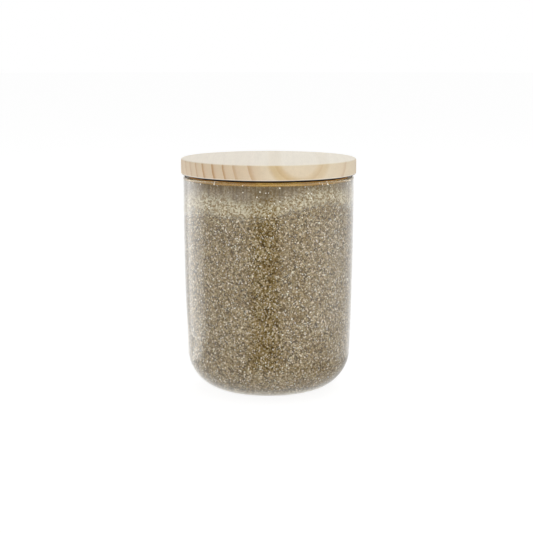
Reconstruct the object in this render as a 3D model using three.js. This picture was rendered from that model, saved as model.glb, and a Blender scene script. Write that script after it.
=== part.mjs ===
// A glass spice jar with a pine lid. Four loose pieces: the glass vessel, the ground spice that it
// holds, the one-piece turned lid, and the silicone ring that grips the mouth from the lid's plug.
// Millimetres, +Z up, origin at the centre of the base on the surface that the jar stands on.
import * as THREE from "three";

// Glass vessel
const JAR_HEIGHT = 101.1; // base to the top of the rim
const JAR_OUTER_RADIUS = 40; // at the mouth
const WALL = 2;
const BASE_THICKNESS = 4.2; // at the foot ring
const SEAL_LAND = 8; // straight wall below the rim, where the seal runs
const SIDE_ARC_RADIUS = 1900; // below the land the wall draws in along this wide arc
const HEEL_RADIUS = 19.2; // outer corner between wall and base
const HEEL_INSET = 3.9; // how much smaller the inner corner's radius is
const FOOT_RING = 5.9; // width of the flat ring that the jar stands on
const PUNT_DEPTH = 0.8; // hollow under the base, inside the foot ring

// Spice
const FILL_CLEARANCE = 0.3; // spice to glass
const HEADSPACE = 8.3; // lid's plug down to the mean level of the spice
const FILL_TILT = 0.042; // rise of the shaken spice per millimetre towards +X
const HUMP_HEIGHT = 2.6; // of the soft humps in its top
const HUMP_LENGTH = 9.3; // along the top, for one radian of the hump's wave
const HUMP_X = -7.4; // where the middle hump is highest
const FILL_EDGE = 3; // plain wall of spice under the lowest edge of its top

// Lid
const LID_OVERHANG = 1; // lid beyond the glass
const LID_THICKNESS = 7.5;
const LID_TOP_ROUND = 0.9;
const LID_BOTTOM_ROUND = 0.9;
const SEAT_GAP = 0.8; // rim to the lid's underside
const PLUG_CLEARANCE = 1; // glass to the wood of the plug
const PLUG_NECK = 3; // wood between the lid's underside and the groove
const PLUG_TOE = 1.2; // wood below the groove
const PLUG_CHAMFER = 0.5;
const GROOVE_DEPTH = 1.5;

// Silicone seal
const SEAL_SEAT_CLEARANCE = 0.25; // ring to the groove, each side
const LIP_CLEARANCE = 0.3; // lip to the glass, which the real lip presses on
const LIP_THICKNESS = 0.6;
const LIP_SPACING = 0.7; // between the two lips
const LIP_REACH = 0.9; // lip beyond the ring's body

// Fineness of the round shapes
const SEGMENTS = 60; // around the axis
const ARC_STEPS = 3; // half the steps in each profile arc
const FILL_RINGS = 8; // rings of points across the spice's top

const MOUTH_RADIUS = JAR_OUTER_RADIUS - WALL;
const LAND_Z = JAR_HEIGHT - SEAL_LAND;
const INNER_HEEL_RADIUS = HEEL_RADIUS - HEEL_INSET;
const LID_Z = JAR_HEIGHT + SEAT_GAP; // the lid's underside
const LID_RADIUS = JAR_OUTER_RADIUS + LID_OVERHANG;
const SEAL_HEIGHT = 2 * LIP_THICKNESS + LIP_SPACING;
const GROOVE_HEIGHT = SEAL_HEIGHT + 2 * SEAL_SEAT_CLEARANCE;
const PLUG_RADIUS = MOUTH_RADIUS - PLUG_CLEARANCE;
const PLUG_DEPTH = PLUG_NECK + GROOVE_HEIGHT + PLUG_TOE;
const QUARTER = Math.PI / 2;

const glass = new THREE.MeshStandardMaterial({
  color: 0xe6ece9,
  roughness: 0.04,
  metalness: 0,
  transparent: true,
  opacity: 0.35,
});
const spice = new THREE.MeshStandardMaterial({ color: 0x8b7e65, roughness: 0.95, metalness: 0 });
const pine = new THREE.MeshStandardMaterial({ color: 0xdcc69f, roughness: 0.65, metalness: 0 });
const silicone = new THREE.MeshStandardMaterial({ color: 0xd9d6cc, roughness: 0.5, metalness: 0 });

// A closed profile of radius and height turned about the Z axis
function turned(profile) {
  const geometry = new THREE.LatheGeometry(profile.getPoints(ARC_STEPS), SEGMENTS);
  return geometry.rotateX(QUARTER);
}

function piece(name, geometry, material) {
  const mesh = new THREE.Mesh(geometry, material);
  mesh.name = name;
  return mesh;
}

// One skin of the vessel, set in from the outer wall: the wide side arc meets the heel arc on a
// common tangent, and the heel arc meets the flat floor
function vesselSkin(inset, floorZ, heelRadius) {
  const radius = JAR_OUTER_RADIUS - inset;
  const sideRadius = SIDE_ARC_RADIUS - inset;
  const sideX = radius - sideRadius;
  const heelZ = floorZ + heelRadius;
  const turn = Math.asin((LAND_Z - heelZ) / (sideRadius - heelRadius));
  const heelX = sideX + (sideRadius - heelRadius) * Math.cos(turn);
  return { radius, sideRadius, sideX, heelRadius, heelX, heelZ, floorZ, turn };
}

// Adds a skin to a profile from its floor up to the land
function skinUp(profile, skin) {
  profile.lineTo(skin.heelX, skin.floorZ);
  profile.absarc(skin.heelX, skin.heelZ, skin.heelRadius, -QUARTER, -skin.turn, false);
  profile.absarc(skin.sideX, LAND_Z, skin.sideRadius, -skin.turn, 0, false);
}

// Adds a skin to a profile from the land down to its floor
function skinDown(profile, skin) {
  profile.absarc(skin.sideX, LAND_Z, skin.sideRadius, 0, -skin.turn, true);
  profile.absarc(skin.heelX, skin.heelZ, skin.heelRadius, -skin.turn, -QUARTER, true);
}

function glassJar() {
  const outer = vesselSkin(0, 0, HEEL_RADIUS);
  const inner = vesselSkin(WALL, BASE_THICKNESS, INNER_HEEL_RADIUS);
  const rimRadius = WALL / 2;
  const rimZ = JAR_HEIGHT - rimRadius;
  const puntRadius = outer.heelX - FOOT_RING;
  const puntArc = (puntRadius ** 2 + PUNT_DEPTH ** 2) / (2 * PUNT_DEPTH);
  const puntTurn = Math.asin(puntRadius / puntArc);
  const profile = new THREE.Path();
  profile.absarc(0, PUNT_DEPTH - puntArc, puntArc, QUARTER, QUARTER - puntTurn, true);
  skinUp(profile, outer);
  profile.absarc(outer.radius - rimRadius, rimZ, rimRadius, 0, Math.PI, false);
  skinDown(profile, inner);
  profile.lineTo(0, BASE_THICKNESS);
  return piece("glass_jar", turned(profile), glass);
}

// How far the shaken spice lies above its mean level at a point of the top
function heapHeight(x, y) {
  const hump = Math.cos((x - HUMP_X) / HUMP_LENGTH) * Math.cos(y / HUMP_LENGTH);
  return FILL_TILT * x + HUMP_HEIGHT * hump;
}

function spiceFill() {
  const topZ = LID_Z - PLUG_DEPTH - HEADSPACE;
  const skin = vesselSkin(
    WALL + FILL_CLEARANCE,
    BASE_THICKNESS + FILL_CLEARANCE,
    INNER_HEEL_RADIUS - FILL_CLEARANCE,
  );
  const topTurn = Math.asin((LAND_Z - topZ) / skin.sideRadius);
  const topRadius = skin.sideX + skin.sideRadius * Math.cos(topTurn);
  const wallZ = topZ - FILL_TILT * topRadius - HUMP_HEIGHT - FILL_EDGE;
  const wallTurn = Math.asin((LAND_Z - wallZ) / skin.sideRadius);
  const profile = new THREE.Path();
  profile.moveTo(0, skin.floorZ);
  profile.lineTo(skin.heelX, skin.floorZ);
  profile.absarc(skin.heelX, skin.heelZ, skin.heelRadius, -QUARTER, -skin.turn, false);
  profile.absarc(skin.sideX, LAND_Z, skin.sideRadius, -skin.turn, -wallTurn, false);
  for (let ring = FILL_RINGS; ring >= 0; ring--) {
    profile.lineTo((topRadius * ring) / FILL_RINGS, topZ);
  }
  const geometry = turned(profile);
  const rows = geometry.parameters.points.length;
  const firstTopRow = rows - FILL_RINGS - 1;
  const points = geometry.getAttribute("position");
  for (let i = 0; i < points.count; i++) {
    if (i % rows >= firstTopRow) {
      points.setZ(i, topZ + heapHeight(points.getX(i), points.getY(i)));
    }
  }
  return piece("spice_fill", geometry, spice);
}

// Built with the lid's underside at height 0
function woodenLid() {
  const grooveRadius = PLUG_RADIUS - GROOVE_DEPTH;
  const grooveTop = -PLUG_NECK;
  const grooveBottom = grooveTop - GROOVE_HEIGHT;
  const edge = LID_RADIUS - LID_BOTTOM_ROUND;
  const top = LID_RADIUS - LID_TOP_ROUND;
  const profile = new THREE.Path();
  profile.moveTo(0, -PLUG_DEPTH);
  profile.lineTo(PLUG_RADIUS - PLUG_CHAMFER, -PLUG_DEPTH);
  profile.lineTo(PLUG_RADIUS, PLUG_CHAMFER - PLUG_DEPTH);
  profile.lineTo(PLUG_RADIUS, grooveBottom);
  profile.lineTo(grooveRadius, grooveBottom);
  profile.lineTo(grooveRadius, grooveTop);
  profile.lineTo(PLUG_RADIUS, grooveTop);
  profile.lineTo(PLUG_RADIUS, 0);
  profile.absarc(edge, LID_BOTTOM_ROUND, LID_BOTTOM_ROUND, -QUARTER, 0, false);
  profile.absarc(top, LID_THICKNESS - LID_TOP_ROUND, LID_TOP_ROUND, 0, QUARTER, false);
  profile.lineTo(0, LID_THICKNESS);
  return piece("wooden_lid", turned(profile), pine);
}

// Built in the lid's frame: a flat body in the groove with a round lip at its top and bottom
function siliconeSeal() {
  const inner = PLUG_RADIUS - GROOVE_DEPTH + SEAL_SEAT_CLEARANCE;
  const lipEnd = MOUTH_RADIUS - LIP_CLEARANCE;
  const body = lipEnd - LIP_REACH;
  const top = -PLUG_NECK - SEAL_SEAT_CLEARANCE;
  const bottom = top - SEAL_HEIGHT;
  const lipRadius = LIP_THICKNESS / 2;
  const profile = new THREE.Path();
  profile.moveTo(inner, bottom);
  profile.lineTo(lipEnd - lipRadius, bottom);
  profile.absarc(lipEnd - lipRadius, bottom + lipRadius, lipRadius, -QUARTER, QUARTER, false);
  profile.lineTo(body, bottom + LIP_THICKNESS);
  profile.lineTo(body, top - LIP_THICKNESS);
  profile.absarc(lipEnd - lipRadius, top - lipRadius, lipRadius, -QUARTER, QUARTER, false);
  profile.lineTo(inner, top);
  profile.lineTo(inner, bottom);
  return piece("silicone_seal", turned(profile), silicone);
}

const jar = new THREE.Group();
jar.add(glassJar(), spiceFill());

const lid = new THREE.Group();
lid.position.z = LID_Z;
lid.add(woodenLid(), siliconeSeal());

const spiceJar = new THREE.Group();
spiceJar.add(jar, lid);

export default spiceJar;
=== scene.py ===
"""A glass spice jar with a pine lid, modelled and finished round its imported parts."""
import math
import random
from typing import NamedTuple

import bmesh
import bpy
from mathutils import Matrix, Vector


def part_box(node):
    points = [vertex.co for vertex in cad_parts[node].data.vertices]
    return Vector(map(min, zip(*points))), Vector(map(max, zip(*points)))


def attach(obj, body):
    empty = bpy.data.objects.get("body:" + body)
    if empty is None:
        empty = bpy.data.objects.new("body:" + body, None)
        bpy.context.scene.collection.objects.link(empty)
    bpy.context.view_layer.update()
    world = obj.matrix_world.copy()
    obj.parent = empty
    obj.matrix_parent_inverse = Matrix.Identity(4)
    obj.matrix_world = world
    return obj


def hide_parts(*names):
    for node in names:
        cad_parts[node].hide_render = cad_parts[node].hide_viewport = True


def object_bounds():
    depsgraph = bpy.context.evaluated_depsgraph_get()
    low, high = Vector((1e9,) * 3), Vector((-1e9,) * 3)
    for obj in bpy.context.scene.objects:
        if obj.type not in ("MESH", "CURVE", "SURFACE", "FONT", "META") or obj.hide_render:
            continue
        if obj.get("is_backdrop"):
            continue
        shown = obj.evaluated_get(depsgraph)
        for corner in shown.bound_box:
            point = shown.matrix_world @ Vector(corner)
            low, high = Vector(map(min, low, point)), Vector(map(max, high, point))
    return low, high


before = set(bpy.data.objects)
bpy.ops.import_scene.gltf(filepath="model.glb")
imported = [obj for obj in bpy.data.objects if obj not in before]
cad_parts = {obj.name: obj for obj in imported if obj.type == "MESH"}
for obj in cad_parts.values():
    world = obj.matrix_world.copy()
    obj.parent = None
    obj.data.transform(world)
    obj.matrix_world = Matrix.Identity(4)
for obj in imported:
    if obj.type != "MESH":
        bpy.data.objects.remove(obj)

bl_info = {
    "name": "Glass Spice Jar",
    "version": (1, 0, 0),
    "blender": (4, 5, 0),
    "location": "View3D > Sidebar > Spice Jar",
    "description": "Models a round-heeled glass jar of ground spice with a turned pine lid",
    "category": "Add Mesh",
}

MM = 0.001
CAD_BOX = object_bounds()
_, GLASS_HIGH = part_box("glass_jar")
LID_LOW, LID_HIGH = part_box("wooden_lid")
SEAL_LOW, SEAL_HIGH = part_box("silicone_seal")

IMAGE_SIDE = 533  # pixels of the square picture
SENSOR = 36  # millimetres across the camera's sensor
TURN_STEPS = 180  # round a turned piece
MERGE = 1e-6  # metres, closer points are one
SHARP = math.radians(40)  # edges turned by more than this stay crisp
GOLDEN_TURN = math.pi * (3 - math.sqrt(5))  # spreads points evenly over a round surface
BATCH = 16  # grains made together
GRAIN_MAP = "OFBake"  # the grains' UV map
# Pine's ring lines, in millimetres from the pith, and how dark each is
RING_RADII = (0, 12.4, 24.4, 31, 35.8, 40.7, 45.1, 48.2, 50.8, 53, 55, 57)
RING_DEPTHS = (0.4, 0.2, 0.6, 0.5, 0.85, 0.95, 0.85, 0.6, 0.45, 0.4, 0.35, 0.35)
PANEL_PLACE = Vector((-0.1288, 0.0369, 0.035))  # of the lamp at the jar's left


def length(name, description, default, **more):
    """A property that holds a length in metres."""
    return bpy.props.FloatProperty(
        name=name, description=description, default=default, unit="LENGTH", precision=5, **more
    )


def share(name, description, default):
    """A property that holds a share from 0 to 1."""
    return bpy.props.FloatProperty(
        name=name, description=description, default=default, min=0, max=1, subtype="FACTOR"
    )


def number(name, description, default):
    """A property that holds a plain number."""
    return bpy.props.FloatProperty(name=name, description=description, default=default)


def count(name, description, default):
    """A property that holds how many of a thing there are."""
    return bpy.props.IntProperty(name=name, description=description, default=default, min=1)


def angle(name, description, degrees):
    """A property that holds an angle in radians."""
    return bpy.props.FloatProperty(
        name=name, description=description, default=math.radians(degrees), subtype="ANGLE"
    )


def colour(name, description, default):
    """A property that holds a colour in linear light."""
    return bpy.props.FloatVectorProperty(
        name=name, description=description, default=default, size=3, min=0, max=1, subtype="COLOR"
    )


class GlassSettings(bpy.types.PropertyGroup):
    """Sizes and tint of the glass vessel."""

    wall: length("Wall", "Thickness of the side", 2 * MM)
    base: length("Base", "Thickness at the foot ring", 4.2 * MM)
    land: length("Land", "Straight wall below the rim", 8 * MM)
    side_arc: length("Side arc", "Radius along which the side draws in", 1900 * MM)
    heel: length("Heel", "Outer radius between side and base", 19.2 * MM)
    heel_inset: length("Heel inset", "How much smaller the inner heel is", 3.9 * MM)
    foot_ring: length("Foot ring", "Width of the ring that the jar stands on", 5.9 * MM)
    punt: length("Punt", "Depth of the hollow under the base", 0.8 * MM)
    tint: colour("Tint", "Colour of the glass", (0.96, 0.98, 0.98))
    coat: share("Coat", "Shine that stands for the skin behind", 0.6)
    dust: colour("Dust", "Fine spice dust on the wall above the spice", (0.7, 0.62, 0.44))
    # A darker colour of the dust film high on the wall, near the lid
    darker_high: colour("Stain", "Dust high on the wall, near the lid", (0.19, 0.13, 0.066))
    dust_cover: share("Dust cover", "How much the dust hides just above the spice", 0.95)
    contact: share("Contact", "How much of the wall below is caked with spice", 0.25)
    # Painted light: paler powder at the bottom, standing in for the floor's light coming up through the
    # base, and how much it hides
    lit_bottom: share("Settled", "How much the fine dust hides at the bottom", 0.85)
    # Painted light: an amber film at the plug's height that stands in for the glow of the front-lit plug
    # behind the glass, and how much it hides
    neck_amber: colour("Oil", "Film of wood oil where the plug rubs the wall", (0.95, 0.56, 0.1))
    neck_amber_cover: share("Oil cover", "How much that film hides", 0.25)


class SpiceSettings(bpy.types.PropertyGroup):
    """Lie, grain and colours of the ground spice."""

    headspace: length("Headspace", "Lid's plug down to the mean level", 8.3 * MM)
    tilt: number("Tilt", "Rise of the level per length towards +X", 0.042)
    hump: length("Hump", "Height of the soft humps", 2.6 * MM)
    hump_length: length("Hump length", "Length of one radian of the humps", 9.3 * MM)
    hump_x: length("Hump place", "Where the middle hump is highest", -7.4 * MM)
    bed_inset: length("Bed inset", "Glass to the packed spice behind the outer grains", 0.7 * MM)
    grain: length("Grain", "Half the length of a common grain", 0.4 * MM)
    wall_grains: count("Wall grains", "Grains that lie against the glass", 33000)
    top_grains: count("Top grains", "Grains on the spice's top", 9000)
    dust_grains: count("Dust grains", "Fine grains that cling above the spice", 6000)
    seed: count("Seed", "Start of the random draws", 7)
    shade: colour("Shade", "Darkest grains", (0.088, 0.046, 0.006))
    husk: colour("Husk", "Dark grains", (0.262, 0.156, 0.034))
    body: colour("Body", "Common grains", (0.485, 0.346, 0.164))
    pale: colour("Pale", "Pale grains", (0.77, 0.64, 0.45))
    salt: colour("Salt", "Palest grains", (1.0, 0.96, 0.86))


class LidSettings(bpy.types.PropertyGroup):
    """Sizes and wood of the lid."""

    top_round: length("Top round", "Radius of the upper edge", 0.9 * MM)
    bottom_round: length("Bottom round", "Radius of the lower edge", 0.9 * MM)
    seat_gap: length("Seat gap", "Rim to the lid's underside", 0.8 * MM)
    plug_clearance: length("Plug clearance", "Glass to the plug", 1 * MM)
    neck: length("Neck", "Wood above the groove", 3 * MM)
    toe: length("Toe", "Wood below the groove", 1.2 * MM)
    toe_chamfer: length("Toe chamfer", "Lower edge of the plug", 0.5 * MM)
    groove_depth: length("Groove depth", "Seal groove into the plug", 1.5 * MM)
    pith_x: length("Pith place", "Centre of the rings along X", 14.5 * MM)
    pith_height: length("Pith height", "Centre of the rings above the lid's middle", 7.5 * MM)
    early: colour("Earlywood", "Pale wood between the ring lines", (0.77, 0.65, 0.475))
    late: colour("Latewood", "Dark ring lines", (0.54, 0.31, 0.13))
    # Paler top colour: sanded wood and painted sheen; it is also painted on the lower edge as a highlight
    bare: colour("Bare top", "Sanded wood of the top", (0.9, 0.865, 0.775))
    # Partly painted shade: besides wood far from the pith, this tint darkens the lid's left side, where
    # less light falls
    outer: colour("Outer wood", "Tint of the wood far from the pith", (0.9, 0.85, 0.81))
    heart: colour("Heart", "Tint of the wood about the innermost ring line", (0.87, 0.78, 0.61))
    # Painted shadow: near-black colour for the dark gap where the lid meets the rim
    seat: colour("Seat", "Stained wood where the lid meets the rim", (0.02, 0.01, 0.003))
    plug: colour("Plug", "Tint of the plug's wood", (1.0, 0.55, 0.18))
    # Painted highlight: a brighter amber patch on the plug's front where front light falls, with its
    # middle along X and half its width
    plug_highlight: colour("Gold", "Colour of the plug's resinous wood", (1.0, 0.59, 0.14))
    plug_highlight_x: length("Gold place", "Middle of the resinous wood along X", 4.4 * MM)
    plug_highlight_reach: length("Gold reach", "Half the width of the resinous wood", 10 * MM)


class SealSettings(bpy.types.PropertyGroup):
    """Shape and colour of the silicone ring."""

    seat: length("Seat clearance", "Ring to the groove", 0.25 * MM)
    lip: length("Lip", "Thickness of a lip at its root", 0.6 * MM)
    lip_end: length("Lip end", "Thickness of a lip at its edge", 0.3 * MM)
    reach: length("Reach", "Lip beyond the ring's body", 0.9 * MM)
    milk: colour("Milk", "Colour of the silicone", (0.3, 0.255, 0.18))


class StageSettings(bpy.types.PropertyGroup):
    """Camera, floor and lamps."""

    distance: length("Distance", "Camera to the point it looks at", 700 * MM)
    elevation: angle("Elevation", "Camera above level", 9.224)
    aim_height: length("Aim height", "Point that the camera looks at", 54 * MM)
    aim_x: number("Aim X", "Pixel at which that point lies, across", 268.6)
    aim_y: number("Aim Y", "Pixel at which that point lies, down", 274.27)
    focal: number("Focal length", "In pixels of the picture", 1475.96)
    ambient: number("Ambient", "Light from all round", 0.48)
    front: share("Front", "What the glass reflects from where the camera stands", 0.15)
    front_turn: angle("Front turn", "Where the camera's dark reflection lies, from -Y towards -X", 4)
    front_edge: angle("Front edge", "From there to the edge of the dark", 0)
    front_end: angle("Front end", "From there to where all is bright", 26)
    floor: colour("Floor", "Colour of the floor", (0.93, 0.93, 0.93))


class SpiceJarSettings(bpy.types.PropertyGroup):
    """All that can be changed on the spice jar."""

    glass: bpy.props.PointerProperty(type=GlassSettings, name="Glass")
    spice: bpy.props.PointerProperty(type=SpiceSettings, name="Spice")
    lid: bpy.props.PointerProperty(type=LidSettings, name="Lid")
    seal: bpy.props.PointerProperty(type=SealSettings, name="Seal")
    stage: bpy.props.PointerProperty(type=StageSettings, name="Stage")


class Signal:
    """A socket in a node tree. An expression on signals adds the Math nodes that work it out."""

    def __init__(self, finish, socket):
        self.finish = finish
        self.socket = socket

    def maths(self, operation, *values):
        """The result of one Math node, whose inputs are the values in order."""
        inputs = dict(enumerate(values))
        return self.finish.node("ShaderNodeMath", {"operation": operation}, inputs)

    def other(self, output):
        """Another output of the node that this signal comes from."""
        return Signal(self.finish, self.socket.node.outputs[output])

    def __add__(self, value):
        return self.maths("ADD", self, value)

    def __radd__(self, value):
        return self.maths("ADD", value, self)

    def __sub__(self, value):
        return self.maths("SUBTRACT", self, value)

    def __rsub__(self, value):
        return self.maths("SUBTRACT", value, self)

    def __mul__(self, value):
        return self.maths("MULTIPLY", self, value)

    def __rmul__(self, value):
        return self.maths("MULTIPLY", value, self)

    def __truediv__(self, value):
        return self.maths("DIVIDE", self, value)

    def __pow__(self, value):
        return self.maths("POWER", self, value)

    def cosine(self):
        """The cosine of an angle in radians."""
        return self.maths("COSINE", self)

    def fraction(self):
        """What is left over after the whole part."""
        return self.maths("FRACT", self)

    def most(self, value):
        """The larger of this and another value."""
        return self.maths("MAXIMUM", self, value)


class Finish:
    """A material or world whose nodes are added by one method."""

    def __init__(self, holder):
        holder.use_nodes = True
        self.holder = holder
        self.tree = holder.node_tree
        self.tree.nodes.clear()

    def node(self, kind, settings=None, inputs=None, output=0):
        """Adds a node of this type, sets it up, feeds its sockets and returns an output if it has any."""
        made = self.tree.nodes.new(kind)
        for name, value in (settings or {}).items():
            if name == "stops":
                self.set_stops(made.color_ramp, value)
            else:
                setattr(made, name, value)
        for name, value in (inputs or {}).items():
            if isinstance(value, Signal):
                self.tree.links.new(value.socket, made.inputs[name])
            else:
                made.inputs[name].default_value = value
        return Signal(self, made.outputs[output]) if made.outputs else None

    @staticmethod
    def set_stops(ramp, stops):
        """Gives a colour ramp its stops, each a place and a grey level or a colour."""
        while len(ramp.elements) < len(stops):
            ramp.elements.new(1.0)
        for element, (place, value) in zip(ramp.elements, stops):
            grey = isinstance(value, (int, float))
            element.position = place
            element.color = (value, value, value, 1) if grey else (*value, 1)

    def place(self):
        """The point on the piece in millimetres, as a vector."""
        point = self.node("ShaderNodeTexCoord", output="Object")
        scale = {"operation": "SCALE"}
        return self.node("ShaderNodeVectorMath", scale, {"Vector": point, "Scale": 1 / MM})

    def parts(self, vector):
        """A vector's three numbers."""
        first = self.node("ShaderNodeSeparateXYZ", inputs={"Vector": vector})
        return first, first.other("Y"), first.other("Z")

    def stretched(self, vector, factors):
        """A vector with each of its numbers multiplied by a factor of its own."""
        return self.node("ShaderNodeVectorMath", {"operation": "MULTIPLY"}, {0: vector, 1: factors})

    def clouds(self, vector, scale=1.0, detail=2.0):
        """Soft random values about a half."""
        inputs = {"Vector": vector, "Scale": scale, "Detail": detail}
        return self.node("ShaderNodeTexNoise", inputs=inputs)

    def smooth_step(self, value, low, high, start=0.0, end=1.0):
        """Goes from start to end as the value goes from low to high."""
        inputs = {"Value": value, "From Min": low, "From Max": high, "To Min": start, "To Max": end}
        return self.node("ShaderNodeMapRange", {"interpolation_type": "SMOOTHSTEP"}, inputs)

    def ramp(self, value, stops):
        """The colour at a value between a ramp's stops."""
        return self.node("ShaderNodeValToRGB", {"stops": stops}, {"Fac": value})

    def blend(self, factor, first, second, kind="MIX"):
        """Two colours mixed by a factor."""
        settings = {"data_type": "RGBA", "blend_type": kind}
        return self.node("ShaderNodeMix", settings, {0: factor, 6: first, 7: second}, output=2)

    def bump(self, height, distance):
        """A normal that follows a height between 0 and 1 over a distance in metres."""
        return self.node("ShaderNodeBump", inputs={"Height": height, "Distance": distance})

    def principled(self, **inputs):
        """The usual surface shader; each socket's name is written with underscores."""
        named = {name.replace("_", " "): value for name, value in inputs.items()}
        return self.node("ShaderNodeBsdfPrincipled", inputs=named)

    def mixed(self, factor, first, second):
        """Two shaders mixed by a factor."""
        return self.node("ShaderNodeMixShader", inputs={0: factor, 1: first, 2: second})

    def close(self, shader, output="ShaderNodeOutputMaterial"):
        """Ends the tree in a shader and returns what holds it."""
        self.node(output, inputs={"Surface": shader})
        return self.holder


def new_finish(name):
    """An empty material."""
    return Finish(bpy.data.materials.new(name))


def opaque(value):
    """A property's colour as a socket takes it."""
    return (*value, 1.0)


def pine_rings(pine, lid, place):
    """Pine's growth rings about a pith along Y: distances across and from it, age and ring lines."""
    reach = RING_RADII[-1]
    stray = 1.2  # millimetres that whole rings wander
    waver = 0.4  # millimetres that a ring line wavers
    closer = 0.133  # rings lie this much closer on the +X side
    x, _, z = pine.parts(place)
    middle = (lid_underside(lid) + LID_HIGH.z) / 2 / MM
    drift = pine.clouds(pine.stretched(place, (1 / 22, 1 / 80, 1 / 22)))
    ripple = pine.clouds(pine.stretched(place, (1 / 3, 1 / 30, 1 / 3)))
    across = x - lid.pith_x / MM + (drift - 0.5) * stray
    across = across + across.most(0) * closer
    above = z - middle - lid.pith_height / MM
    radius = (across * across + above * above) ** 0.5 + (ripple - 0.5) * waver
    ages = [(r / reach, k / len(RING_RADII)) for k, r in enumerate(RING_RADII)]
    depths = [(r / reach, depth) for r, depth in zip(RING_RADII, RING_DEPTHS)]
    season = (pine.ramp(radius / reach, ages) * len(RING_RADII)).fraction()
    old = pine.smooth_step(across, -8, -30)
    # A crisp line late in the season, broader in old wood, after a soft shade
    line = pine.smooth_step(season, 0.78 - old * 0.18, 0.97) ** 1.2
    line = line.most(pine.smooth_step(season, 0.3, 1.0) * 0.3)
    line = line * pine.smooth_step(season, 0.97, 1.0, 1.0, 0.0)
    line = line * pine.ramp(radius / reach, depths) * pine.smooth_step(across, 0, 20, 1.0, 0.6)
    return across, radius, old, line


def pine_finish(lid):
    """Bare pine: ring lines, fibres, a sanded top paled further by painted sheen, an amber plug with a
    painted highlight on its front, a painted highlight on the lower edge and painted shadow at the seat.
    """
    sanding_and_sheen = 0.95  # how far the top is paled: sanded bare, with painted sheen
    edge_highlight = 0.6  # how strongly the lower edge is painted with the pale top colour as a highlight
    pine = new_finish("pine")
    place = pine.place()
    x, y, z = pine.parts(place)
    under = lid_underside(lid) / MM
    top = LID_HIGH.z / MM
    rim = LID_HIGH.x / MM
    across, radius, old, line = pine_rings(pine, lid, place)
    # The top's ring lines fade: sanded wood and painted sheen where light glances off the top
    rough = pine.smooth_step(z, top - 0.6, top - 0.1, 1.0, 0.3)
    late = line * rough
    wood = pine.blend(late, opaque(lid.early), opaque(lid.late))
    # The left side is tinted darker: wood far from the pith, and painted shade of the less lit side
    wood = pine.blend(old, wood, opaque(lid.outer), "MULTIPLY")
    # Darker wood about the innermost ring line
    from_heart = (radius - RING_RADII[1]) * (radius - RING_RADII[1])
    heart = pine.smooth_step(from_heart, 14, 0.5) * pine.smooth_step(across, 4, -4, 0.6, 1.0)
    wood = pine.blend(heart, wood, opaque(lid.heart), "MULTIPLY")
    # Painted highlight: the rounded lower edge paled towards the top's colour, as if lit by the floor
    # below
    edge = pine.smooth_step(z, under + 1.0, under + 0.5) * pine.smooth_step(z, under, under + 0.2)
    wood = pine.blend(edge * edge_highlight, wood, opaque(lid.bare))
    # The plug, with a painted highlight in the middle of its front: a brighter amber patch where the
    # front light falls
    plug = pine.smooth_step(z, under + 0.1, under - 0.1)
    from_plug_highlight = (x - lid.plug_highlight_x / MM) * (x - lid.plug_highlight_x / MM)
    plug_highlight_end, plug_highlight_start = [(lid.plug_highlight_reach * part / MM) ** 2 for part in (1.2, 0.8)]
    plug_highlight = pine.smooth_step(from_plug_highlight, plug_highlight_end, plug_highlight_start)
    plain = pine.blend(1.0, wood, opaque(lid.plug), "MULTIPLY")
    wood = pine.blend(plug, wood, pine.blend(plug_highlight, plain, opaque(lid.plug_highlight)))
    # Painted shadow in the gap between lid and rim: near-black from the plug's neck out to the foot of
    # the lid's edge
    seat = pine.smooth_step((x * x + y * y) ** 0.5, rim - 0.05, rim - 0.15)
    seat = seat * pine.smooth_step(z, under - 0.9, under - 0.78)
    seat = seat * pine.smooth_step(z, under + 0.5, under + 0.36)
    wood = pine.blend(seat, wood, opaque(lid.seat))
    # Painted sheen as well as sanding: the top paled towards the bare colour
    wood = pine.blend((1 - rough) * sanding_and_sheen, wood, opaque(lid.bare))
    fibre = pine.clouds(pine.stretched(place, (2.6, 0.09, 2.6)), detail=4.0)
    streak = pine.clouds(pine.stretched(place, (0.5, 0.02, 0.5)), detail=3.0)
    pore = pine.clouds(place, scale=3.2, detail=3.0)
    tone = 0.83 + fibre * 0.16 + streak * 0.12 + pore * 0.06
    shade = pine.node("ShaderNodeCombineXYZ", inputs={"X": tone, "Y": tone, "Z": tone})
    surface = pine.principled(
        Base_Color=pine.blend(1.0, wood, shade, "MULTIPLY"),
        Roughness=0.45 + pore * 0.14 - late * 0.08 + plug * 0.4,
        Normal=pine.bump(fibre * 0.6 + pore * 0.3 - late * 0.2, 0.1 * MM),
    )
    return pine.close(surface)


def spice_stops(spice):
    """The spice's colours from its darkest to its palest grains."""
    tones = (0.0, 0.25, 0.55, 0.85, 1.0)
    colours = (spice.shade, spice.husk, spice.body, spice.pale, spice.salt)
    return [(tone, tuple(value)) for tone, value in zip(tones, colours)]


def clear_shader(clear, glass, coat=0.0):
    """Clear glass through which lamps and bounced light reach what lies inside."""
    solid = clear.principled(
        Base_Color=opaque(glass.tint),
        Roughness=0.0,
        IOR=1.5,
        Transmission_Weight=1.0,
        Coat_Weight=coat,
        Coat_Roughness=0.0,
    )
    path = clear.node("ShaderNodeLightPath", output="Is Shadow Ray")
    gone = clear.node("ShaderNodeBsdfTransparent", inputs={"Color": opaque(glass.tint)})
    return clear.mixed(path, clear.mixed(path.other("Is Diffuse Ray"), solid, gone), gone)


def outer_finish(glass):
    """The glass's outer skin, whose coat adds the shine of the skin behind it, up to the rim."""
    clear = new_finish("clear_glass")
    _, _, z = clear.parts(clear.place())
    rim = (GLASS_HIGH.z - glass.wall) / MM
    coat = clear.smooth_step(z, rim, rim + 1, glass.coat, 0.0)
    return clear.close(clear_shader(clear, glass, coat))


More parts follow.
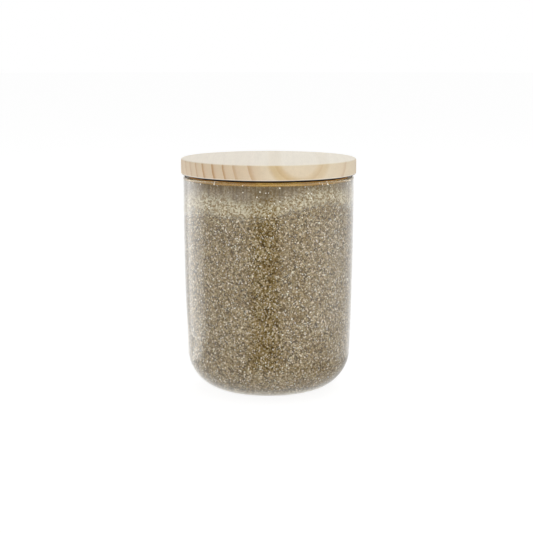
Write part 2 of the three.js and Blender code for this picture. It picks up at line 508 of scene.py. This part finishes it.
def above_spice(inner, spice, place):
    """How far a place on the glass is above the spice's ragged edge, in millimetres."""
    raggedness = 8.0  # millimetres from the deepest dip to the highest lump
    x, y, z = inner.parts(place)
    wave = ((x - spice.hump_x / MM) * (MM / spice.hump_length)).cosine()
    wave = wave * (y * (MM / spice.hump_length)).cosine()
    level = spice_level(spice) / MM + x * spice.tilt + wave * (spice.hump / MM)
    lumps = inner.clouds(place, scale=0.25, detail=4.0)
    return z - level + (lumps - 0.5) * raggedness


def inner_finish(glass, spice, lid):
    """The glass's inner skin: wetted by the spice below its level, with streaky dust above it."""
    thin_out = 2.6  # millimetres either side of the spice's edge
    inner = new_finish("dusty_glass")
    place = inner.place()
    _, _, z = inner.parts(place)
    floor = glass.base / MM
    neck = (lid_underside(lid) - lid.neck) / MM
    above = above_spice(inner, spice, place)
    below = inner.smooth_step(above, thin_out, -thin_out)
    cell = inner.node("ShaderNodeTexVoronoi", inputs={"Vector": place, "Scale": 1.6})
    touch, tone, _ = inner.parts(cell.other("Color"))
    streak = inner.clouds(inner.stretched(place, (0.9, 0.9, 0.09)), detail=3.0)
    speck = inner.clouds(place, scale=1.6, detail=3.0)
    # How much of the glass is hidden: by dust above the spice, by a painted amber film at the plug's
    # height, by caked spice below
    cover = inner.smooth_step(streak * 0.6 + speck * 0.4, 0.3, 0.65, 0.8, 1.05) * glass.dust_cover
    at_neck = inner.smooth_step(z, neck + 0.6, neck + 1.2)
    cover = cover * (1 - at_neck) + at_neck * glass.neck_amber_cover
    caked = inner.smooth_step(touch, 1 - glass.contact, 1.05 - glass.contact)
    # Painted light: paler powder over the lowest part, where light comes up through the base
    lit_bottom = inner.smooth_step(z, floor + 2.5, floor + 0.5) * glass.lit_bottom
    cover = below * caked.most(lit_bottom) + (1 - below) * cover
    # What hides it
    powder_stops = ((0.2, tuple(spice.husk)), (0.8, tuple(glass.dust)))
    powder = inner.ramp(speck * 0.9 - 0.4 + tone * 0.9, powder_stops)
    spiced = inner.ramp(tone * 0.8 + 0.1, spice_stops(spice))
    spiced = inner.blend(lit_bottom, spiced, powder)
    # The film darkens high on the wall, towards the lid
    high = inner.smooth_step(above, 3.6, 11.6) * inner.smooth_step(streak, 0.3, 0.7, 1.0, 0.7)
    film = inner.blend(below, inner.blend(high, powder, opaque(glass.darker_high)), spiced)
    # Painted light: the amber film at the plug's height adds to the golden band of the lit plug
    film = inner.blend(at_neck, film, opaque(glass.neck_amber))
    # Single pale crystals, more of them at the plug
    crystal = inner.node("ShaderNodeTexVoronoi", inputs={"Vector": place, "Scale": 0.8})
    chance, _, _ = inner.parts(crystal.other("Color"))
    rarity = inner.smooth_step(z, neck - 1, neck + 1, 0.9, 0.72)
    sparkle = inner.smooth_step(crystal, 0.3, 0.2) * inner.smooth_step(chance - rarity, 0, 0.02)
    film = inner.blend(sparkle, film, opaque(spice.salt))
    # Where spice lies against it the skin doesn't shine, apart from the base
    wet = inner.node("ShaderNodeBsdfTransparent", inputs={"Color": opaque(glass.tint)})
    wetted = below * inner.smooth_step(z, floor + 0.3, floor + 4, 0.3, 1.0)
    skin = inner.mixed(wetted, clear_shader(inner, glass), wet)
    dust = inner.principled(Base_Color=film, Roughness=0.9)
    return inner.close(inner.mixed(cover.most(sparkle), skin, dust))


def grain_finish(spice):
    """Loose grains, whose UV place gives each its tone across and its gloss up."""
    grains = new_finish("spice_grains")
    tone, gloss, _ = grains.parts(grains.node("ShaderNodeUVMap", {"uv_map": GRAIN_MAP}))
    leaf = (1.0, 0.99, 0.84, 1.0)
    root = (1.0, 0.95, 1.0, 1.0)
    hue = grains.blend(gloss, leaf, root)
    surface = grains.principled(
        Base_Color=grains.blend(1.0, grains.ramp(tone, spice_stops(spice)), hue, "MULTIPLY"),
        Roughness=grains.smooth_step(gloss, 0.8, 1.0, 0.8, 0.25),
    )
    return grains.close(surface)


def bed_finish(spice):
    """Packed spice seen between the outer grains, its colours pushed dark as painted shade in the gaps
    between grains.
    """
    bed = new_finish("packed_spice")
    place = bed.place()
    cell = bed.node("ShaderNodeTexVoronoi", inputs={"Vector": place, "Scale": 1.15})
    tone, _, _ = bed.parts(cell.other("Color"))
    patch = bed.clouds(place, scale=0.12)
    surface = bed.principled(
        # Painted shade: the tone is shifted dark so that the gaps between grains read as shadowed
        Base_Color=bed.ramp(tone * 0.62 - 0.12 + patch * 0.15, spice_stops(spice)),
        Roughness=0.9,
        Normal=bed.bump(1 - cell, 0.5 * MM),
    )
    return bed.close(surface)


def silicone_finish(seal):
    """Milky silicone with a faint bloom."""
    silicone = new_finish("silicone")
    place = silicone.place()
    bloom = silicone.clouds(place, scale=0.7, detail=3.0)
    pale = tuple(min(1.0, channel * 1.1) for channel in seal.milk)
    surface = silicone.principled(
        Base_Color=silicone.blend(bloom, opaque(seal.milk), opaque(pale)),
        Roughness=0.34 + bloom * 0.2,
        Subsurface_Weight=0.35,
        Subsurface_Scale=0.0015,
    )
    return silicone.close(surface)


def mirrored_light(floor, stage, x, y):
    """How much of the floor's white the glass mirrors at a place, and where a painted bright patch lies
    that glows only in reflections.
    """
    turn = stage.front_turn
    apart = x * x + y * y
    towards = (x * -math.sin(turn) - y * math.cos(turn)) / apart**0.5
    lit = floor.smooth_step(towards, math.cos(stage.front_edge), math.cos(stage.front_end))
    # White again at the jar's foot
    lit = lit.most(floor.smooth_step(apart, 75**2, 48**2))
    # Dimmer far off in front, which the neck mirrors, and at the right, which the heel's edge mirrors
    far = floor.smooth_step(apart, 920**2, 1000**2) * floor.smooth_step(towards, -0.6, 0.1)
    dull = floor.smooth_step(x, 15, 45) * floor.smooth_step(apart, 95**2, 65**2)
    lit = lit * (1 - far * 0.8) * (1 - dull * 0.45)
    # A painted bright patch, seen only in the glass's reflections, lies from the left panel's foot
    # towards the jar
    foot = PANEL_PLACE.xy.normalized()
    outwards = x * foot.x + y * foot.y
    slant = (x * foot.y - y * foot.x) / outwards
    glow_patch = floor.smooth_step(outwards, 60, 85) * floor.smooth_step(outwards, 145, 130)
    glow_patch = glow_patch * floor.smooth_step(slant, -0.4, -0.2)
    glow_patch = glow_patch * floor.smooth_step(slant, 0.22, 0.04, 0.2, 1.0)
    return lit, glow_patch


def floor_finish(stage):
    """Pale floor that looks white with the jar's soft shadow; the glass mirrors it darker in front and
    brighter at a painted glowing patch.
    """
    shadow_share = 0.2  # of the light that falls on the floor, so that the shadow shows
    floor = new_finish("pale_floor")
    x, y, _ = floor.parts(floor.place())
    lit, glow_patch = mirrored_light(floor, stage, x, y)
    # The glow patch is painted light: it glows above white only where the glass mirrors it
    levels = {"lift": 0.14, "white": 0.89, "glow_patch": 2.2, "dark": stage.front}
    glow = {
        name: floor.node("ShaderNodeEmission", inputs={"Strength": level})
        for name, level in levels.items()
    }
    path = floor.node("ShaderNodeLightPath", output="Is Camera Ray")
    seen = path.most(path.other("Is Transmission Ray"))
    bare = floor.node("ShaderNodeBsdfDiffuse", inputs={"Color": opaque(stage.floor)})
    plain = floor.node("ShaderNodeAddShader", inputs={0: bare, 1: glow["lift"]})
    dim = floor.node("ShaderNodeBsdfDiffuse", inputs={"Color": opaque([shadow_share] * 3)})
    white = floor.node("ShaderNodeAddShader", inputs={0: dim, 1: glow["white"]})
    mirrored = floor.mixed(glow_patch, floor.mixed(lit, glow["dark"], white), glow["glow_patch"])
    direct = floor.mixed(seen, plain, white)
    return floor.close(floor.mixed(path.other("Is Glossy Ray"), direct, mirrored))


def lid_underside(lid):
    """Height of the lid's underside."""
    return GLASS_HIGH.z + lid.seat_gap


def spice_level(spice):
    """Mean height of the spice's top."""
    return LID_LOW.z - spice.headspace


def heap_height(spice, x, y):
    """Height of the shaken spice at a point of its top."""
    wave = math.cos((x - spice.hump_x) / spice.hump_length) * math.cos(y / spice.hump_length)
    return spice_level(spice) + spice.tilt * x + spice.hump * wave


def arc(centre, radius, start, end, steps):
    """Points of radius and height along a round stretch, with angles in radians and both ends."""
    turns = [start + (end - start) * step / steps for step in range(steps + 1)]
    return [(centre[0] + radius * math.cos(a), centre[1] + radius * math.sin(a)) for a in turns]


def vessel_skin(glass, inset, floor, heel, top):
    """One skin of the vessel from the edge of its floor up to a height: heel arc, then side arc."""
    land = GLASS_HIGH.z - glass.land
    radius = GLASS_HIGH.x - inset
    side = glass.side_arc - inset
    turn = math.asin((land - floor - heel) / (side - heel))
    heel_x = radius - side + (side - heel) * math.cos(turn)
    end = -math.asin(max(0.0, land - top) / side)
    points = arc((heel_x, floor + heel), heel, -math.pi / 2, -turn, 16)
    points += arc((radius - side, land), side, -turn, end, 12)[1:]
    return points


def turned(points, steps=TURN_STEPS, closed=False):
    """A bmesh of a profile of radius and height spun about the Z axis."""
    mesh = bmesh.new()
    verts = [mesh.verts.new((r, 0, z)) for r, z in points]
    edges = [mesh.edges.new(pair) for pair in zip(verts, verts[1:])]
    if closed:
        edges.append(mesh.edges.new((verts[-1], verts[0])))
    spin = {"cent": (0, 0, 0), "axis": (0, 0, 1), "angle": math.tau, "steps": steps}
    bmesh.ops.spin(mesh, geom=verts + edges, use_merge=True, **spin)
    bmesh.ops.remove_doubles(mesh, verts=mesh.verts, dist=MERGE)
    bmesh.ops.recalc_face_normals(mesh, faces=mesh.faces)
    return mesh


def add_piece(name, mesh, finishes, body, node=None):
    """Makes an object of a bmesh, rides it on a body and lets it stand for a CAD node."""
    data = bpy.data.meshes.new(name)
    mesh.to_mesh(data)
    mesh.free()
    data.shade_smooth()
    data.set_sharp_from_angle(angle=SHARP)
    for finish in finishes:
        data.materials.append(finish)
    piece = bpy.data.objects.new(name, data)
    bpy.context.scene.collection.objects.link(piece)
    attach(piece, body)
    if node:
        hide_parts(node)
    return piece


def glass_mesh(glass):
    """The vessel: punt, foot ring, outer skin, fire-polished rim and inner skin."""
    rim = glass.wall / 2
    support = GLASS_HIGH.z - rim * 1.2  # a ring here keeps the wall's shading straight
    outer = vessel_skin(glass, 0, 0, glass.heel, GLASS_HIGH.z)
    inner = vessel_skin(glass, glass.wall, glass.base, glass.heel - glass.heel_inset, GLASS_HIGH.z)
    punt = outer[0][0] - glass.foot_ring
    punt_arc = (punt**2 + glass.punt**2) / (2 * glass.punt)
    punt_turn = math.asin(punt / punt_arc)
    quarter = math.pi / 2
    points = arc((0, glass.punt - punt_arc), punt_arc, quarter, quarter - punt_turn, 6)
    points += outer
    points.append((GLASS_HIGH.x, support))
    points += arc((GLASS_HIGH.x - rim, GLASS_HIGH.z - rim), rim, 0, math.pi, 10)
    points.append((GLASS_HIGH.x - glass.wall, support))
    points += inner[::-1]
    points.append((0, glass.base))
    mesh = turned(points)
    for face in mesh.faces:
        middle = face.calc_center_median()
        faces_axis = face.normal.xy.dot(middle.xy) < 0 and middle.z > glass.base
        faces_up = face.normal.z > 0.5 and middle.z < GLASS_HIGH.z / 2
        face.material_index = int(faces_axis or faces_up)
    return mesh


def lid_mesh(lid, glass):
    """The lid: plug with its groove, underside, rounded edges and flat top."""
    under = lid_underside(lid)
    plug = GLASS_HIGH.x - glass.wall - lid.plug_clearance
    groove = plug - lid.groove_depth
    quarter = math.pi / 2
    top = (LID_HIGH.x - lid.top_round, LID_HIGH.z - lid.top_round)
    bottom = (LID_HIGH.x - lid.bottom_round, under + lid.bottom_round)
    points = [
        (0, LID_LOW.z),
        (plug - lid.toe_chamfer, LID_LOW.z),
        (plug, LID_LOW.z + lid.toe_chamfer),
        (plug, LID_LOW.z + lid.toe),
        (groove, LID_LOW.z + lid.toe),
        (groove, under - lid.neck),
        (plug, under - lid.neck),
        (plug, under),
    ]
    points += arc(bottom, lid.bottom_round, -quarter, 0, 6)
    points += arc(top, lid.top_round, 0, quarter, 8)
    points.append((0, LID_HIGH.z))
    return turned(points)


def seal_mesh(seal, lid, glass):
    """The ring: a flat body with two tapered lips that reach for the glass."""
    inner = GLASS_HIGH.x - glass.wall - lid.plug_clearance - lid.groove_depth + seal.seat
    body = SEAL_HIGH.x - seal.reach
    end = seal.lip_end / 2
    points = [(inner, SEAL_LOW.z), (body, SEAL_LOW.z)]
    middles = (SEAL_LOW.z + seal.lip / 2, SEAL_HIGH.z - seal.lip / 2)
    for middle in middles:
        points.append((body, middle - seal.lip / 2))
        points += arc((SEAL_HIGH.x - end, middle), end, -math.pi / 2, math.pi / 2, 6)
        points.append((body, middle + seal.lip / 2))
    points.append((inner, SEAL_HIGH.z))
    return turned(points, closed=True)


def bed_mesh(spice, glass):
    """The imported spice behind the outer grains, with a heaped top."""
    rings = 24
    floor = glass.base + spice.bed_inset
    inset = glass.wall + spice.bed_inset
    heel = glass.heel - glass.heel_inset - spice.bed_inset
    drop = spice.tilt * GLASS_HIGH.x + spice.hump
    wall = vessel_skin(glass, inset, floor, heel, spice_level(spice) - 2 * drop)
    edge = wall[-1][0]
    top = spice_level(spice)
    points = [(0, floor)] + wall + [(edge * ring / rings, top) for ring in range(rings, -1, -1)]
    mesh = turned(points, steps=120)
    for vert in mesh.verts:
        if vert.co.z > top - drop / 2:
            vert.co.z = heap_height(spice, vert.co.x, vert.co.y) - spice.bed_inset
    return mesh


def wall_places(spice, glass, draw):
    """Evenly spread places on the spice's skin, each a point and the way out to the glass."""
    inset = glass.wall + spice.bed_inset / 2
    floor = glass.base + spice.bed_inset / 2
    heel = glass.heel - glass.heel_inset - spice.bed_inset / 2
    jitter = 0.008  # radians round the jar
    highest = spice_level(spice) + spice.tilt * GLASS_HIGH.x + spice.hump
    skin = [(0, floor)] + vessel_skin(glass, inset, floor, heel, highest)
    spans = []
    area = 0.0
    for (r0, z0), (r1, z1) in zip(skin, skin[1:]):
        step = math.hypot(r1 - r0, z1 - z0) * (r0 + r1) / 2
        spans.append((area, step, (r0, z0), (r1, z1)))
        area += step
    span = 0
    for index in range(spice.wall_grains):
        reach = area * (index + draw.random()) / spice.wall_grains
        while span + 1 < len(spans) and reach > spans[span][0] + spans[span][1]:
            span += 1
        start, step, (r0, z0), (r1, z1) = spans[span]
        part = (reach - start) / step
        turn = index * GOLDEN_TURN + draw.uniform(-jitter, jitter)
        radius = r0 + (r1 - r0) * part
        height = z0 + (z1 - z0) * part
        tilt = math.atan2(r0 - r1, z1 - z0)
        side = Vector((math.cos(turn), math.sin(turn), 0))
        out = side * math.cos(tilt) + Vector((0, 0, math.sin(tilt)))
        point = side * radius + Vector((0, 0, height))
        if height < heap_height(spice, point.x, point.y):
            yield point, out


def top_places(spice, glass, draw):
    """Evenly spread places on the spice's top."""
    edge = GLASS_HIGH.x - glass.wall - spice.bed_inset
    for index in range(spice.top_grains):
        radius = edge * math.sqrt((index + draw.random()) / spice.top_grains)
        turn = index * GOLDEN_TURN
        x = radius * math.cos(turn)
        y = radius * math.sin(turn)
        yield Vector((x, y, heap_height(spice, x, y) - spice.bed_inset / 2)), Vector((0, 0, 1))


def dust_places(spice, glass, draw):
    """Places on the bare inner wall, closer together just above the spice."""
    clearance = 0.12 * MM
    radius = GLASS_HIGH.x - glass.wall - clearance
    ceiling = GLASS_HIGH.z - glass.wall
    for _ in range(spice.dust_grains):
        turn = draw.uniform(0, math.tau)
        side = Vector((math.cos(turn), math.sin(turn), 0))
        floor = heap_height(spice, side.x * radius, side.y * radius)
        height = floor + (ceiling - floor) * draw.random() ** 2
        yield side * radius + Vector((0, 0, height)), side


class Grain(NamedTuple):
    """How one kind of grain is cut."""

    size: float  # half the length of a common one
    flatness: float  # thickness to length
    lean: float  # how far it may turn out of the surface
    sides: int
    blunt: float  # width of its upper end to its lower


GRAIN_LENGTHS = (0.7, 1.25)  # shortest and longest grain to a common one
GRAIN_WIDTHS = (0.6, 0.95)  # narrowest and widest grain to its length
GRAIN_DEPTH = 1.6  # of the cone that a grain is squeezed from, to its radius


def grains_mesh(places, grain, draw):
    """Angular grains at places, in small batches."""
    whole = bmesh.new()
    batch = bmesh.new()
    holder = bpy.data.meshes.new("grain_batch")
    ends = {"radius1": 1, "radius2": grain.blunt, "cap_ends": True}
    shape = {"segments": grain.sides, "depth": GRAIN_DEPTH, **ends}
    for index, (point, out) in enumerate(places):
        lean = Vector([draw.uniform(-grain.lean, grain.lean) for _ in range(3)])
        facing = (out + lean).to_track_quat("Z", "Y").to_matrix().to_4x4()
        spin = Matrix.Rotation(draw.uniform(0, math.tau), 4, "Z")
        long = grain.size * draw.uniform(*GRAIN_LENGTHS)
        wide = long * draw.uniform(*GRAIN_WIDTHS)
        flip = draw.choice((-1, 1))
        scale = Matrix.Diagonal((long, wide * flip, long * grain.flatness * flip, 1))
        matrix = Matrix.Translation(point) @ facing @ spin @ scale
        bmesh.ops.create_cone(batch, matrix=matrix, **shape)
        if index % BATCH == BATCH - 1:
            batch.to_mesh(holder)
            batch.clear()
            whole.from_mesh(holder)
    batch.to_mesh(holder)
    whole.from_mesh(holder)
    batch.free()
    bpy.data.meshes.remove(holder)
    return whole


def lay_grains(name, places, grain, draw, finish, tone_of):
    """Adds loose grains as one piece, with a UV map that holds each grain's tone and gloss."""
    mesh = grains_mesh(places, grain, draw)
    layer = mesh.loops.layers.uv.new(GRAIN_MAP)
    faces_each = grain.sides + (2 if grain.blunt else 1)
    spread = 0.006  # a face's width on the map
    for index, face in enumerate(mesh.faces):
        if index % faces_each == 0:
            tone = tone_of(draw.random()) * (1 - spread)
            gloss = draw.random() * (1 - spread)
        for corner, loop in enumerate(face.loops):
            loop[layer].uv = (tone + spread * (corner % 2), gloss + spread * (corner > 1))
    piece = add_piece(name, mesh, [finish], "jar")
    piece.data.shade_flat()
    return piece


def common_tone(drawn):
    """Grains of all tones, with more of the dark and the pale ones than of those between."""
    return 0.5 + 0.5 * math.copysign(abs(2 * drawn - 1) ** 0.6, drawn - 0.5)


def dust_tone(drawn):
    """Clinging grains are mostly pale."""
    return 0.15 + 0.85 * math.sqrt(drawn)


def settings():
    """The scene's spice jar settings."""
    return bpy.context.scene.spice_jar


class Lamp(NamedTuple):
    """A softbox that faces the jar."""

    name: str
    place: Vector  # in metres
    size: tuple  # width and height in metres
    power: float  # in watts
    mirrored: bool = True  # whether the glass mirrors it


LAMPS = (
    Lamp("panel_left", PANEL_PLACE, (0.125, 0.17), 0.07),
    Lamp("panel_right", Vector((0.15, -0.04, 0.03)), (0.19, 0.1), 0.026),
    Lamp("front", Vector((0.05, -0.75, 0.26)), (0.3, 0.3), 2.3, mirrored=False),
    Lamp("overhead", Vector((0.15, 0.15, 1.3)), (1.2, 1.2), 9.8),
)


class SPICEJAR_OT_stage(bpy.types.Operator):
    """Sets up the camera, the floor, the lamps and the surroundings"""

    bl_idname = "spice_jar.stage"
    bl_label = "Stage"

    def execute(self, context):
        stage = settings().stage
        self.add_camera(stage)
        self.add_floor(stage)
        self.add_world(stage)
        for lamp in LAMPS:
            self.add_lamp(lamp, stage.aim_height)
        context.scene.view_settings.view_transform = "Standard"
        return {"FINISHED"}

    @staticmethod
    def add_camera(stage):
        """A camera at the photograph's viewing angle."""
        data = bpy.data.cameras.new("camera")
        data.sensor_width = SENSOR
        data.lens = stage.focal * SENSOR / IMAGE_SIDE
        data.shift_x = (IMAGE_SIDE / 2 - stage.aim_x) / IMAGE_SIDE
        data.shift_y = (stage.aim_y - IMAGE_SIDE / 2) / IMAGE_SIDE
        data.clip_start = 0.01
        camera = bpy.data.objects.new("camera", data)
        back = Vector((0, -math.cos(stage.elevation), math.sin(stage.elevation)))
        camera.location = Vector((0, 0, stage.aim_height)) + back * stage.distance
        camera.rotation_euler = back.to_track_quat("Z", "Y").to_euler()
        bpy.context.scene.collection.objects.link(camera)
        bpy.context.scene.camera = camera

    @staticmethod
    def add_floor(stage):
        """A wide round floor under the jar."""
        mesh = bmesh.new()
        bmesh.ops.create_circle(mesh, cap_ends=True, segments=64, radius=6.0)
        data = bpy.data.meshes.new("floor")
        mesh.to_mesh(data)
        mesh.free()
        data.materials.append(floor_finish(stage))
        floor = bpy.data.objects.new("floor", data)
        bpy.context.scene.collection.objects.link(floor)
        floor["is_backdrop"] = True

    @staticmethod
    def add_world(stage):
        """White surroundings that light the jar at a plain level."""
        world = bpy.data.worlds.new("surroundings")
        bpy.context.scene.world = world
        sky = Finish(world)
        path = sky.node("ShaderNodeLightPath", output="Is Camera Ray")
        seen = path.most(path.other("Is Glossy Ray")).most(path.other("Is Transmission Ray"))
        white = (1, 1, 1, 1)
        light, plain = [
            sky.node("ShaderNodeBackground", inputs={"Color": white, "Strength": level})
            for level in (stage.ambient, 1.0)
        ]
        sky.close(sky.mixed(seen, light, plain), "ShaderNodeOutputWorld")

    @staticmethod
    def add_lamp(lamp, aim_height):
        """A softbox out of the camera's sight, whose light fades towards its edges."""
        full = 0.8  # of the middle's value, from where on the light is full
        data = bpy.data.lights.new(lamp.name, "AREA")
        data.shape = "RECTANGLE"
        data.size, data.size_y = lamp.size
        data.energy = lamp.power
        box = Finish(data)
        across, up, _ = box.parts(box.node("ShaderNodeNewGeometry", output="Parametric"))
        fade = box.smooth_step(across * (1 - across) * 4, 0.0, full)
        fade = fade * box.smooth_step(up * (1 - up) * 4, 0.0, full)
        box.close(box.node("ShaderNodeEmission", inputs={"Strength": fade}), "ShaderNodeOutputLight")
        softbox = bpy.data.objects.new(lamp.name, data)
        softbox.location = lamp.place
        softbox.visible_camera = False
        softbox.visible_glossy = lamp.mirrored
        away = lamp.place - Vector((0, 0, min(aim_height, lamp.place.z)))
        softbox.rotation_euler = away.to_track_quat("Z", "Y").to_euler()
        bpy.context.scene.collection.objects.link(softbox)


class SPICEJAR_OT_glass(bpy.types.Operator):
    """Models the glass vessel"""

    bl_idname = "spice_jar.glass"
    bl_label = "Glass"

    def execute(self, context):
        jar = settings()
        finishes = [outer_finish(jar.glass), inner_finish(jar.glass, jar.spice, jar.lid)]
        add_piece("jar_glass", glass_mesh(jar.glass), finishes, "jar", "glass_jar")
        return {"FINISHED"}


class SPICEJAR_OT_spice(bpy.types.Operator):
    """Fills the jar with packed spice and loose grains"""

    bl_idname = "spice_jar.spice"
    bl_label = "Spice"

    def execute(self, context):
        spice = settings().spice
        glass = settings().glass
        draw = random.Random(spice.seed)
        bed = bed_mesh(spice, glass)
        add_piece("spice_bed", bed, [bed_finish(spice)], "jar", "spice_fill")
        finish = grain_finish(spice)
        size = spice.grain
        kinds = (
            ("grains_wall", wall_places, Grain(size, 0.5, 0.3, 4, 0.0), common_tone),
            ("grains_top", top_places, Grain(size * 1.1, 0.55, 0.6, 5, 0.5), common_tone),
            ("grains_clinging", dust_places, Grain(size * 0.5, 0.25, 0.08, 4, 0.0), dust_tone),
        )
        for name, places, grain, tone_of in kinds:
            lay_grains(name, places(spice, glass, draw), grain, draw, finish, tone_of)
        return {"FINISHED"}


class SPICEJAR_OT_lid(bpy.types.Operator):
    """Turns the pine lid"""

    bl_idname = "spice_jar.lid"
    bl_label = "Lid"

    def execute(self, context):
        jar = settings()
        mesh = lid_mesh(jar.lid, jar.glass)
        add_piece("lid_pine", mesh, [pine_finish(jar.lid)], "lid", "wooden_lid")
        return {"FINISHED"}


class SPICEJAR_OT_seal(bpy.types.Operator):
    """Moulds the silicone ring"""

    bl_idname = "spice_jar.seal"
    bl_label = "Seal"

    def execute(self, context):
        jar = settings()
        mesh = seal_mesh(jar.seal, jar.lid, jar.glass)
        finishes = [silicone_finish(jar.seal)]
        add_piece("seal_ring", mesh, finishes, "seal", "silicone_seal")
        return {"FINISHED"}


STEPS = (
    SPICEJAR_OT_stage,
    SPICEJAR_OT_glass,
    SPICEJAR_OT_spice,
    SPICEJAR_OT_lid,
    SPICEJAR_OT_seal,
)


class SPICEJAR_PT_sidebar(bpy.types.Panel):
    """The spice jar's steps and settings"""

    bl_label = "Spice Jar"
    bl_idname = "SPICEJAR_PT_sidebar"
    bl_space_type = "VIEW_3D"
    bl_region_type = "UI"
    bl_category = "Spice Jar"

    def draw(self, context):
        jar = context.scene.spice_jar
        for step in STEPS:
            self.layout.operator(step.bl_idname)
        for part in (jar.glass, jar.spice, jar.lid, jar.seal, jar.stage):
            box = self.layout.box()
            for name in part.__annotations__:
                box.prop(part, name)


CLASSES = (
    GlassSettings,
    SpiceSettings,
    LidSettings,
    SealSettings,
    StageSettings,
    SpiceJarSettings,
    *STEPS,
    SPICEJAR_PT_sidebar,
)


def register():
    for each in CLASSES:
        bpy.utils.register_class(each)
    bpy.types.Scene.spice_jar = bpy.props.PointerProperty(type=SpiceJarSettings)


def unregister():
    del bpy.types.Scene.spice_jar
    for each in reversed(CLASSES):
        bpy.utils.unregister_class(each)


def main():
    register()
    bpy.ops.spice_jar.stage()
    bpy.ops.spice_jar.glass()
    bpy.ops.spice_jar.spice()
    bpy.ops.spice_jar.lid()
    bpy.ops.spice_jar.seal()
    boxes = {"cad": CAD_BOX, "visual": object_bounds()}
    plain = {name: [list(corner) for corner in box] for name, box in boxes.items()}


if __name__ == "__main__":
    main()
